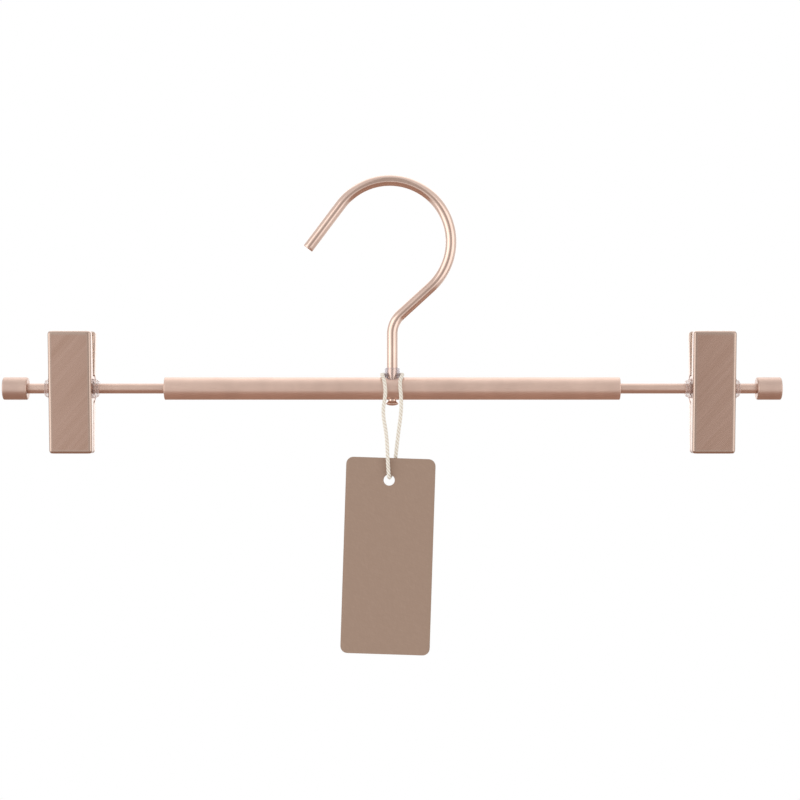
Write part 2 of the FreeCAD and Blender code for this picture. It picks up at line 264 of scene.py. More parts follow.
# a shader node with its options and what its sockets are fed
def addNode(tree, kind, values=None, **options):
    node = tree.nodes.new(kind)
    for key, value in options.items():
        setattr(node, key, value)
    feed(tree, node, values or {})
    return node


# a material with those values on its shader
def newFinish(name, values):
    finish = bpy.data.materials.new(name)
    finish.use_nodes = True
    shader = finish.node_tree.nodes["Principled BSDF"]
    feed(finish.node_tree, shader, values)
    return finish, finish.node_tree, shader


# a value spread from one pair of limits onto another
def spread(tree, value, limits, low, high, kind="LINEAR"):
    return addNode(tree, "ShaderNodeMapRange", {
        "Value": value, "From Min": limits[0], "From Max": limits[1], "To Min": low, "To Max": high,
    }, interpolation_type=kind).outputs["Result"]


noiseSet = {"roughness": 0.6, "limits": (0.3, 0.7)}  # noise mostly stays within these limits


# a noise on the piece's own place, stretched by size and turned, with its value spread between two limits
def noiseValue(tree, size, detail, turn=(0, 0, 0), low=0, high=1, mapped="Object"):
    place = addNode(tree, "ShaderNodeTexCoord").outputs[mapped]
    lay = addNode(tree, "ShaderNodeMapping", {"Vector": place, "Scale": size, "Rotation": turn},
                  vector_type="TEXTURE").outputs["Vector"]
    noise = addNode(tree, "ShaderNodeTexNoise", {
        "Vector": lay, "Scale": 1.0, "Detail": detail, "Roughness": noiseSet["roughness"]})
    return spread(tree, noise.outputs["Fac"], noiseSet["limits"], low, high)


# one colour or number going over into another by a share; the first may come from another node
def mixed(tree, share, first, second):
    coloured = isinstance(second, tuple)
    kind = "RGBA" if coloured else "VALUE"
    mix = addNode(tree, "ShaderNodeMix", {0: share}, data_type="RGBA" if coloured else "FLOAT")
    ends = [k for k, socket in enumerate(mix.inputs) if socket.type == kind and socket.name in ("A", "B")]
    feed(tree, mix, {k: (*v, 1) if isinstance(v, tuple) else v for k, v in zip(ends, (first, second))})
    return [socket for socket in mix.outputs if socket.type == kind][0]


# the share from 0 to 1 that a mesh carries under a mark's name
def markShare(tree, mark):
    return addNode(tree, "ShaderNodeAttribute", attribute_name=mark).outputs["Fac"]


# a value taken as height, for the shader's normal
def bumped(tree, shader, value, strength, depth):
    bump = addNode(tree, "ShaderNodeBump", {"Height": value, "Strength": strength, "Distance": depth})
    feed(tree, shader, {"Normal": bump.outputs["Normal"]})


# plated metal: a broad cloudy tint, and a grain that changes roughness and gives a shallow bump;
# a mark on the mesh, such as the painted highlight on the folds or the painted light inside a jaw, brings in
# a tint and roughness of its own
def platedFinish(name, look):
    finish, tree, shader = newFinish(name, {
        "Metallic": 1.0, "Coat Weight": look["coat"], "Coat Roughness": look["coatRough"]})
    cloud = noiseValue(tree, look["cloud"], 2, look["grainTurn"])
    tint = mixed(tree, cloud, look["dark"], look["light"])
    grain = noiseValue(tree, look["grain"], 3, look["grainTurn"], look["smooth"], look["rough"])
    for mark, markTint, markRough in look.get("marks", ()):
        share = markShare(tree, mark)
        tint = mixed(tree, share, tint, markTint)
        grain = mixed(tree, share, grain, markRough)
    feed(tree, shader, {"Base Color": tint, "Roughness": grain})
    height = noiseValue(tree, look["grain"], 3, look["grainTurn"])
    bumped(tree, shader, height, look["bump"], look["bumpDepth"])
    return finish


# cloud and grain sizes in metres; each plating adds to what plain says, and the bar's pieces share satin
plain = {"grainTurn": (0, 0, 0), "bumpDepth": 0.00002, "coatRough": 0.2}
satin = dict(plain, cloud=(0.009,) * 3, smooth=0.36, rough=0.46, grain=(0.0005, 0.00035, 0.00035), bump=0.10,
             bumpDepth=0.00003, coat=0.1, coatRough=0.4)
platingSet = {
    "hook": dict(plain, dark=(0.60, 0.44, 0.37), light=(0.68, 0.51, 0.43), cloud=(0.012,) * 3, smooth=0.14,
                 rough=0.22, grain=(0.0012,) * 3, bump=0.05, coat=0.35, coatRough=0.12),
    "bar": dict(satin, dark=(0.63, 0.46, 0.385), light=(0.70, 0.515, 0.432), coat=0.15),
    # the rods take a darker copy of the bar's plating, a painted shade that dims their top highlight
    "rod": dict(satin, dark=(0.58, 0.42, 0.35), light=(0.645, 0.475, 0.398)),
    "cap": dict(satin, dark=(0.535, 0.39, 0.33), light=(0.595, 0.44, 0.37)),
    # the jaws' tint is the bar's plating made darker and warmer, a painted shade for the dim surroundings
    # that their flat plates reflect
    "jaw": dict(plain, dark=(0.425, 0.275, 0.212), light=(0.472, 0.316, 0.252), cloud=(0.05, 0.02, 0.0024),
                smooth=0.23, rough=0.31, grain=(0.016, 0.004, 0.00045), grainTurn=(0, math.radians(-48), 0),
                bump=0.015, coat=0.25,
                # the fold mark is a painted highlight: a whiter, smoother tint along the folds, the plate's
                # border and the free edges
                # the inside mark is a pale tint, painted light in the shaded inside of the pan, with the
                # rough matte finish that the inner face has
                marks=(("fold", (0.46, 0.345, 0.285), 0.24), ("insideLit", (0.86, 0.73, 0.64), 0.7))),
    "spring": dict(plain, dark=(0.42, 0.41, 0.40), light=(0.52, 0.51, 0.49), cloud=(0.004,) * 3, smooth=0.22,
                   rough=0.34, grain=(0.0006,) * 3, bump=0.08, coat=0.0),
}
plating = {name: platedFinish(name + "Plating", look) for name, look in platingSet.items()}

# clear plastic: how much it hides where it is seen square on, thin, and at its rims, thick
clear = {"cloud": (0.002,) * 3, "rough": 0.14, "facing": (0.2, 0.7), "blend": 0.5}
plasticSet = {
    "collar": dict(clear, dark=(0.52, 0.45, 0.52), light=(0.62, 0.55, 0.61), thin=0.08, thick=0.66),
    "bush": dict(clear, dark=(0.76, 0.57, 0.51), light=(0.87, 0.70, 0.65), thin=0.16, thick=0.6),
}


# clear moulded plastic: its tint gets denser as the surface turns away, from thin to thick
def clearFinish(name, look):
    finish, tree, shader = newFinish(name, {"Roughness": look["rough"]})
    rim = addNode(tree, "ShaderNodeLayerWeight", {"Blend": look["blend"]}).outputs["Facing"]
    feed(tree, shader, {
        "Base Color": mixed(tree, noiseValue(tree, look["cloud"], 2), look["dark"], look["light"]),
        "Alpha": spread(tree, rim, look["facing"], look["thin"], look["thick"])})
    return finish


plastic = {name: clearFinish(name + "Plastic", look) for name, look in plasticSet.items()}

padFinishSet = {"dark": (0.62, 0.58, 0.52), "light": (0.72, 0.69, 0.63), "cloud": (0.003,) * 3,
                "rough": 0.5, "grain": (0.0004,) * 3, "bump": 0.15, "bumpDepth": 0.00005,
                "under": 0.25, "underReach": (0.002, 0.0016, 0.0012), "underScale": 0.5}


# soft translucent plastic: a milky cloudy tint, a little light passing under the surface, a fine bump
def padFinish(look):
    finish, tree, shader = newFinish("gripPlastic", {
        "Roughness": look["rough"], "Subsurface Weight": look["under"],
        "Subsurface Radius": look["underReach"], "Subsurface Scale": look["underScale"]})
    cloud = noiseValue(tree, look["cloud"], 3)
    feed(tree, shader, {"Base Color": mixed(tree, cloud, look["dark"], look["light"])})
    bumped(tree, shader, noiseValue(tree, look["grain"], 2), look["bump"], look["bumpDepth"])
    return finish


gripPlastic = padFinish(padFinishSet)

cardFinishSet = {"dark": (0.352, 0.240, 0.180), "light": (0.392, 0.272, 0.206), "rough": 0.78, "shine": 0.25,
                 "fibre": (0.0022, 0.0022, 0.00035), "levelTurn": 25, "steepTurn": -15,
                 "bump": 0.12, "bumpDepth": 0.00006}


# uncoated card: short fibres as long thin noise laid two ways, the one times the other
def cardFinish(look):
    finish, tree, shader = newFinish("brownCard", {
        "Roughness": look["rough"], "Specular IOR Level": look["shine"]})
    level = noiseValue(tree, look["fibre"], 4, (0, math.radians(look["levelTurn"]), 0))
    steep = noiseValue(tree, look["fibre"][::-1], 4, (0, math.radians(look["steepTurn"]), 0))
    both = addNode(tree, "ShaderNodeMath", {0: level, 1: steep}, operation="MULTIPLY").outputs[0]
    feed(tree, shader, {"Base Color": mixed(tree, both, look["dark"], look["light"])})
    bumped(tree, shader, both, look["bump"], look["bumpDepth"])
    return finish


brownCard = cardFinish(cardFinishSet)

# the groove tint is a painted shade that darkens the cord where its plies meet
cottonSet = {"dark": (0.90, 0.82, 0.69), "light": (1.0, 0.98, 0.93), "grooveShade": (0.64, 0.50, 0.35),
             "rough": 0.85, "sheen": 0.25, "shine": 0.2, "fibre": (0.00009, 0.0011, 1.0), "fibreTurn": 8,
             "bump": 0.8, "bumpDepth": 0.00006}


# cotton yarn: fine fibres along each ply, from the ply's own map, lighter and darker by fibre,
# and a painted shade in the grooves where the plies meet
def cottonFinish(look):
    finish, tree, shader = newFinish("cottonYarn", {
        "Roughness": look["rough"], "Sheen Weight": look["sheen"], "Specular IOR Level": look["shine"]})
    fibre = noiseValue(tree, look["fibre"], 3, (0, 0, math.radians(look["fibreTurn"])), mapped="UV")
    yarn = mixed(tree, fibre, look["dark"], look["light"])
    feed(tree, shader, {"Base Color": mixed(tree, markShare(tree, "grooveShade"), yarn, look["grooveShade"])})
    bumped(tree, shader, fibre, look["bump"], look["bumpDepth"])
    return finish


cottonYarn = cottonFinish(cottonSet)
print("finishes made")

# the cord in mm: its control points are the solid's route, moved to follow the photo's strands
cordSet = {
    "diameter": 1.6, "length": 103.8, "plies": 3, "plyRadius": 0.385, "plyOut": 0.415, "twist": -4.3,
    "step": 0.16,
    "route": ((0.5, -2.9, -113.4), (-0.9, -3.5, -116.4), (-1.3, -7.3, -116.4), (-1.75, -7.0, -110.0),
              (-2.15, -6.3, -99.5), (-3.9, -5.95, -90.5), (-2.55, -5.8, -83.2), (-3.0, -5.9, -78.5),
              (-4.0, -2.6, -75.45), (-4.1, 1.7, -75.5), (-1.7, 4.2, -75.4), (1.7, 4.2, -75.4),
              (4.1, 1.7, -75.5), (4.0, -2.6, -75.45), (2.9, -5.9, -78.5), (3.6, -5.8, -84.5),
              (3.6, -5.5, -90.5), (2.4, -4.7, -99.0), (1.45, -3.8, -107.5), (0.9, -2.9, -111.8)),
}


# a smooth line near the route: a curve of order 3 with the route as its control points, read back as points
def smoothLine(name, route, fine=24):
    data = bpy.data.curves.new(name, "CURVE")
    data.dimensions = "3D"
    data.resolution_u = fine
    spline = data.splines.new("NURBS")
    spline.points.add(len(route) - 1)
    spline.points.foreach_set("co", np.c_[np.array(route) * mm, np.ones(len(route))].ravel())
    spline.order_u = 3
    spline.use_endpoint_u = True
    carrier = addObject(name, data)
    mesh = bpy.data.meshes.new_from_object(carrier.evaluated_get(bpy.context.evaluated_depsgraph_get()))
    line = np.zeros(len(mesh.vertices) * 3)
    mesh.vertices.foreach_get("co", line)
    bpy.data.objects.remove(carrier)
    bpy.data.curves.remove(data)
    bpy.data.meshes.remove(mesh)
    return line.reshape(-1, 3)


plySet = {"around": 12, "fewest": 8, "fixed": (0.577, -0.577, 0.577), "grooveRun": 0.8}


# each ply is a wire whose middle winds round the cord's line at a fixed distance, one turn to each twist
# length; its painted groove shade grows from 0 on the outermost line of the ply to 1 where it nears the next
# ply
def plySurfaces(line, look, taper=None):
    length = np.linalg.norm(np.diff(line, axis=0), axis=1).sum()
    path = evenPoints(line, max(plySet["fewest"], int(length / (look["step"] * mm))))
    right, up = pathSides(path, plySet["fixed"])
    walk = np.linspace(0, length, len(path))[:, None]
    size = np.ones(len(path)) if taper is None else taper(walk[:, 0] / length)
    surfaces = []
    for ply in range(look["plies"]):
        wind = fullTurn * (walk / (look["twist"] * mm) + ply / look["plies"])
        middle = path + look["plyOut"] * mm * size[:, None] * (np.cos(wind) * right + np.sin(wind) * up)
        plyRight, plyUp = pathSides(middle, plySet["fixed"])
        grid = wireGrid(middle, plyRight, plyUp, look["plyRadius"] * mm * size, plySet["around"])
        reach = np.linalg.norm(grid - path[:, None], axis=-1) / (size[:, None] * mm)
        sunk = (look["plyOut"] + look["plyRadius"] - reach) / look["plyRadius"]
        grooveShade = smoothStep(sunk / plySet["grooveRun"]) ** 2
        surfaces.append(gridSurface(grid, capped=True, marks={"grooveShade": grooveShade}))
    return surfaces


cordLine = smoothLine("cordLine", cordSet["route"])
cordPiece = makePiece("tagCord", plySurfaces(cordLine, cordSet), cottonYarn, "tag_loop",
                      ["tag_cord"])
print("cord made")

# the overhand knot behind the card, in mm, and its two cut ends, which widen towards their tips
knotSet = {
    "spot": (0.8, -2.75, -112.6), "scale": 0.60, "squeeze": 0.85, "between": (0.12, 0.96), "points": 260,
    "plies": 3, "plyRadius": 0.32, "plyOut": 0.31, "twist": -3.2, "step": 0.16,
    "tailPly": {"plyRadius": 0.36, "plyOut": 0.34}, "flare": 0.5, "flareFrom": 0.75,
    "tails": (((1.5, -2.8, -113.2), (2.3, -2.6, -115.0), (2.7, -2.9, -117.6), (3.4, -3.1, -120.0)),
              ((2.0, -2.6, -112.8), (3.2, -2.3, -113.9), (4.3, -2.5, -116.0), (4.7, -2.9, -118.6))),
}


# knot line: it goes twice round its middle while it waves in and out, and back and forth, three times
def knotSurfaces(look):
    turn = np.linspace(*look["between"], look["points"]) * fullTurn
    out = 2 + np.cos(3 * turn)
    deep = look["squeeze"] * np.sin(3 * turn)
    line = np.stack([out * np.cos(2 * turn), deep, out * np.sin(2 * turn)], -1)
    surfaces = plySurfaces(line * look["scale"] * mm + np.array(look["spot"]) * mm, look)

    def flared(share):
        return 1 + look["flare"] * smoothStep((share - look["flareFrom"]) / (1 - look["flareFrom"]))

    for tail in look["tails"]:
        surfaces += plySurfaces(smoothLine("tailLine", tail), {**look, **look["tailPly"]}, flared)
    return surfaces


knotPiece = makePiece("cordKnot", knotSurfaces(knotSet), cottonYarn, "tag_loop",
                      ["cord_knot"])

# the card in mm about its hole: drop is from its top to the hole, aside from its middle, tilt is in degrees
cardSet = {"width": 35.5, "length": 78.0, "thick": 0.6, "corner": 2.8, "hole": 4.4, "drop": 8.8,
           "aside": -0.5, "tilt": 1.85, "edge": 0.1, "around": 288, "rings": 10, "cornerSteps": 12,
           "edgeSteps": 4}


# rings from the hole's circle out to the card's outline on the front, round the edge, back to the hole
# on the other face and round the hole's edge; each edge is a quarter circle on either face
def cardGrid(look):
    low = np.array([-look["width"] / 2 - look["aside"], look["drop"] - look["length"]])
    high = low + [look["width"], look["length"]]
    spots = ((low[0], low[1]), (low[0], high[1]), (high[0], high[1]), (high[0], low[1]))
    outline = roundedOutline([(*spot, look["corner"]) for spot in spots], look["cornerSteps"])
    outline = evenPoints(np.concatenate([outline, outline[:1]]), look["around"] + 1)[:-1]
    along = np.roll(outline, -1, 0) - np.roll(outline, 1, 0)
    edge, half = look["edge"], look["thick"] / 2
    rimWay = unit(np.stack([along[:, 1], -along[:, 0]], -1)) * edge
    hole, holeWay = unit(outline) * look["hole"] / 2, unit(outline) * edge

    def flat(share, depth):
        return (hole + holeWay) * (1 - share) + (outline + rimWay) * share, depth

    def rounded(line, way, bend, face):
        return line + way * bend[1], face * (half - edge * bend[0])

    bends = 1 - polar(np.linspace(0, math.pi / 2, look["edgeSteps"]))  # (1 - cos a, 1 - sin a) of a quarter
    across = np.linspace(0, 1, look["rings"])
    rings = [flat(share, -half) for share in across]
    rings += [rounded(outline, rimWay, bend, -1) for bend in bends[1:]]
    rings += [rounded(outline, rimWay, bend, 1) for bend in bends[::-1]]
    rings += [flat(share, half) for share in across[::-1][1:]]
    rings += [rounded(hole, holeWay, bend, 1) for bend in bends[1:]]
    rings += [rounded(hole, holeWay, bend, -1) for bend in bends[::-1][:-1]]
    grid = np.stack([upright(spots, depth) for spots, depth in rings])
    tilt = math.radians(look["tilt"])
    spin = np.array([[math.cos(tilt), 0, math.sin(tilt)], [0, 1, 0], [-math.sin(tilt), 0, math.cos(tilt)]])
    return grid @ spin.T * mm + np.array(jointSpots["tag_turn"])


cardSurface = gridSurface(cardGrid(cardSet), closeRows=True)
makePiece("swingCard", [cardSurface], brownCard, "tag", ["swing_tag"])
print("card and knot made")

# hook in mm: wire, bow, slanted neck, straight tip; head is the peened end, from its foot up to the shoulder
# where the stem starts, as (below the bar's axis, radius)
hookSet = {
    "wire": 4.4, "bowRadius": 24.5, "bowAside": -1.0, "slant": 47.5, "neckRadius": 10.4, "tipTurn": 143,
    "tipRun": 22.0, "tipEdge": 0.45, "around": 48,
    "head": ((6.88, 0.6), (6.8, 1.2), (6.64, 1.75), (6.4, 2.25), (6.18, 2.53), (6.04, 2.64), (5.95, 2.63),
             (5.8, 2.48), (5.5, 2.1), (5.2, 1.8), (5.0, 1.68), (4.8, 1.65), (3.6, 1.65), (2.6, 1.65),
             (2.57, 1.9), (2.55, 2.15), (2.5, 2.2)),
    "steps": {"stem": 40, "neck": 24, "run": 24, "bow": 150, "tip": 24, "edge": 6},
}


# the wire's line in the bar's plane, stretch by stretch with its heading: stem, neck arc, slanted run, bow,
# tip; the head is the same line below the stem, with a radius of its own at each point
def hookSurface(look):
    steps, bowRadius = look["steps"], look["bowRadius"]
    seat = bowRadius - look["wire"] / 2
    bow = np.array([look["bowAside"], -math.sqrt(seat ** 2 - look["bowAside"] ** 2)])
    slant, turn = math.radians(look["slant"]), math.radians(look["tipTurn"])
    bowStart = bow + bowRadius * polar(-slant)
    slope = polar(math.pi / 2 - slant)
    corner = bowStart - slope * bowStart[0] / slope[0]
    setback = look["neckRadius"] * math.tan(slant / 2)
    neckStart, neckEnd = corner - [0, setback], corner + slope * setback
    head = np.array(look["head"])
    stem = np.linspace(barZ / mm - head[-1, 0], neckStart[1], steps["stem"])[1:-1]
    bend = np.linspace(0, slant, steps["neck"])
    run = np.linspace(0, 1, steps["run"])[1:-1, None]
    arch = np.linspace(-slant, turn, steps["bow"])
    tipStraight = look["tipRun"] - look["tipEdge"]
    tip = np.linspace(0, tipStraight, steps["tip"])[1:, None]
    quarter = np.linspace(0, math.pi / 2, steps["edge"])[1:]
    bowEnd = bow + bowRadius * polar(turn)
    tipWay = polar(turn + math.pi / 2)
    tipRound = bowEnd + tipWay * (tipStraight + look["tipEdge"] * np.sin(quarter))[:, None]
    line = np.concatenate([
        np.stack([np.zeros(len(head)), barZ / mm - head[:, 0]], -1),
        np.stack([np.zeros(len(stem)), stem], -1),
        neckStart + look["neckRadius"] * np.stack([1 - np.cos(bend), np.sin(bend)], -1),
        neckEnd + run * (bowStart - neckEnd),
        bow + bowRadius * polar(arch),
        bowEnd + tip * tipWay,
        tipRound])
    heading = np.concatenate([
        np.tile([0.0, 1.0], (len(head) + len(stem), 1)),
        polar(math.pi / 2 - bend),
        np.tile(slope, (len(run), 1)),
        polar(arch + math.pi / 2),
        np.tile(tipWay, (len(tip) + len(tipRound), 1))])
    radii = np.full(len(line), look["wire"] / 2)
    radii[:len(head)] = head[:, 1]
    radii[-len(tipRound):] -= look["tipEdge"] * (1 - np.cos(quarter))
    right = upright(heading[:, ::-1] * [1, -1])
    up = np.tile([0.0, 1.0, 0.0], (len(line), 1))
    return gridSurface(wireGrid(upright(line) * mm, right, up, radii * mm, look["around"]), capped=True)


makePiece("wireHook", [hookSurface(hookSet)], plating["hook"], "hook", ["hook"])

# clear collar round the stem: (above the bar's axis, radius, rounding)
collarSet = {"outline": ((2.7, 2.28), (2.7, 2.66, 0.15), (4.5, 2.66), (4.5, 2.98, 0.12), (8.2, 2.98, 0.55),
                         (8.2, 2.28, 0.1))}
collarSurface = turned(roundedOutline(collarSet["outline"]), "z", (0, 0, barZ), closeRows=True)
makePiece("stemCollar", [collarSurface], plastic["collar"], "bar", ["hook_bush"])
print("hook and collar made")

cutterSet = {"around": 48, "fixed": (0.3, 0.9, 0.3)}


# cuts round holes (start, end, radius) out of a piece, by a difference with a wire made for each
def cutHoles(piece, holes, finish):
    for start, end, radius in holes:
        path = np.stack([np.array(start), np.array(end)])
        right, up = pathSides(path, cutterSet["fixed"])
        grid = wireGrid(path, right, up, radius, cutterSet["around"])
        wire = makeMesh("cutter", [gridSurface(grid, capped=True)], finish)
        cutter = addObject("cutter", wire)
        cut = piece.modifiers.new("hole", "BOOLEAN")
        cut.object, cut.operation, cut.solver = cutter, "DIFFERENCE", "EXACT"
        mesh = bpy.data.meshes.new_from_object(piece.evaluated_get(bpy.context.evaluated_depsgraph_get()))
        piece.modifiers.clear()
        old, piece.data = piece.data, mesh
        mesh.set_sharp_from_angle(angle=sharpAngle)
        bpy.data.meshes.remove(old)
        bpy.data.objects.remove(cutter)


# bar in mm: tube with rolled ends, bore and the stem's two holes, rods, caps with rounded rims and sockets
barSet = {
    "tubeRadius": 4.5, "bore": 3.5, "tubeEdge": 0.35, "boreEdge": 0.2, "around": 96,
    "crownHole": 2.72, "stemHole": 1.75, "holeRun": 8, "holeReach": 6, "holeRows": 25,
    "rodRadius": 2.0, "rodRows": 12, "rodAround": 64,
    "capRadius": 4.5, "capInner": 0.65, "capOuter": 0.4, "capFace": 1.2, "capMiddle": 0.02,
    "socket": 7.0, "socketGap": 0.03, "socketEdge": 0.12,
}


# the tube's section turned round the bar: out along the outside and back along the bore, with extra rows
# where the holes are cut
def tubeSurface(look):
    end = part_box("centre_tube")[1][0] / mm
    holeRows = np.linspace(-look["holeReach"], look["holeReach"], look["holeRows"])
    rows = np.array([-end / 2, *holeRows, end / 2])
    outline = roundedOutline([
        (-end, look["bore"], look["boreEdge"]), (-end, look["tubeRadius"], look["tubeEdge"]),
        *((x, look["tubeRadius"]) for x in rows),
        (end, look["tubeRadius"], look["tubeEdge"]), (end, look["bore"], look["boreEdge"]),
        *((x, look["bore"]) for x in rows[::-1])])
    return turned(outline, "x", (0, 0, barZ), look["around"], closeRows=True)


tubePiece = makePiece("middleTube", [tubeSurface(barSet)], plating["bar"], "bar",
                      ["centre_tube"])
cutHoles(tubePiece, [((0, 0, barZ), (0, 0, barZ + barSet["holeRun"] * mm), barSet["crownHole"] * mm),
                     ((0, 0, barZ), (0, 0, barZ - barSet["holeRun"] * mm), barSet["stemHole"] * mm)],
         plating["bar"])


# an outline drawn for the right end of the bar; the left one is the same read backwards with its x negative
def onSide(outline, side):
    outline = np.asarray(outline)
    return outline if side > 0 else outline[::-1] * [-1, 1]


# a cap's section: rim of the socket, inner face, outside, outer face to the middle, floor of the socket
def capOutline(look, inner, outer):
    floor, mouth = inner + look["socket"], look["rodRadius"] + look["socketGap"]
    return roundedOutline([
        (inner, mouth, look["socketEdge"]), (inner, look["capRadius"], look["capInner"]),
        (outer, look["capRadius"], look["capOuter"]), (outer, look["capFace"]), (outer, look["capMiddle"]),
        (floor, look["capMiddle"]), (floor, mouth)])


for hand, side in sides:
    rodEnds = sorted(abs(v[0]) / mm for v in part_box("rod_" + hand))
    rodOutline = [(x, barSet["rodRadius"]) for x in np.linspace(*rodEnds, barSet["rodRows"])]
    rodSurface = turned(onSide(rodOutline, side), "x", (0, 0, barZ), barSet["rodAround"], capped=True)
    makePiece("slideRod." + hand, [rodSurface], plating["rod"], "bar", ["rod_" + hand])
    capEnds = sorted(abs(v[0]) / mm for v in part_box("end_cap_" + hand))
    capSurface = turned(onSide(capOutline(barSet, *capEnds), side), "x", (0, 0, barZ), barSet["around"],
                        closeRows=True)
    makePiece("endCap." + hand, [capSurface], plating["cap"], "bar", ["end_cap_" + hand])
    frame["nodes"]["tube_plug_" + hand].data.materials.clear()
    frame["nodes"]["tube_plug_" + hand].data.materials.append(plating["bar"])
print("bar made")

# clip in mm, about its pivot: the jaws as folded pans, leaned to each other, with ears round the bushes
clipSet = {
    "half": 8.6, "above": 23.3, "below": 25.6, "sheet": 0.8, "fold": 1.1, "insideFold": 0.3, "corner": 1.25,
    "lean": 4.8, "plate": 6.43, "lip": 4.0, "gap": 1.0, "burr": 0.14,
    "earRadius": 5.13, "earMouth": 2.9, "earHole": 2.83, "earRun": 12, "earSteps": 40, "earTrim": 0.3,
    "notch": 0.8, "pressIn": 0.95, "pressStart": 5.95, "pressRun": 0.5, "pressWall": 12,
    "sideColumns": 190, "endColumns": 18, "cornerSteps": 6, "foldSteps": 7, "wallSteps": 34,
    "plateShares": (0, 0.25, 0.5, 0.75, 0.9, 0.97, 1.0),
}
# how strongly the painted highlight lies on the plate's border, the folds and the free edges, how fast it
# fades down a wall, and how much of the inside's painted light reaches the free edge
foldHighlightSet = {"borderFrom": 0.9, "border": 0.8, "fold": (1, 0.7), "fade": 25, "edge": 0.6, "edgeInsideLit": 0.5}
lean = math.radians(clipSet["lean"])


# half of the gap between the leaned jaws, as a depth in an upright jaw at a height
def midDepth(height, gap):
    return (-gap / 2 + height * math.sin(lean)) / math.cos(lean)


# upright piece about the pivot, leaned to its closed place, turned round for the back jaw, set on the bar
def leaned(grid, back, x):
    c, s = math.cos(lean), math.sin(lean)
    grid = grid @ np.array([[1, 0, 0], [0, c, -s], [0, s, c]]).T
    if back:
        grid = grid * [-1, -1, 1]
    return grid * mm + np.array([x, 0, barZ])


# free edge of a side wall in (depth, height): lip, slope to the mouth, round ear, slope along the gap
def freeEdge(look):
    mouth, ear, trim = look["earMouth"] / 2, look["earRadius"], look["earTrim"]
    lowMouth = midDepth(-ear, look["gap"])
    start = math.acos(-mouth / ear)
    end = -math.acos(lowMouth / ear)
    angles = np.linspace(start, end, look["earSteps"])
    angles = angles[(angles < start - trim) & (angles > end + trim)]
    return evenPoints(roundedOutline([
        (look["lip"] - look["plate"], look["above"] - look["corner"]),
        (-mouth, ear * math.sin(start), look["notch"]),
        *(ear * polar(angles)),
        (lowMouth, ear * math.sin(end), look["notch"]),
        (midDepth(-look["below"], look["gap"]), look["corner"] - look["below"])]), look["sideColumns"])
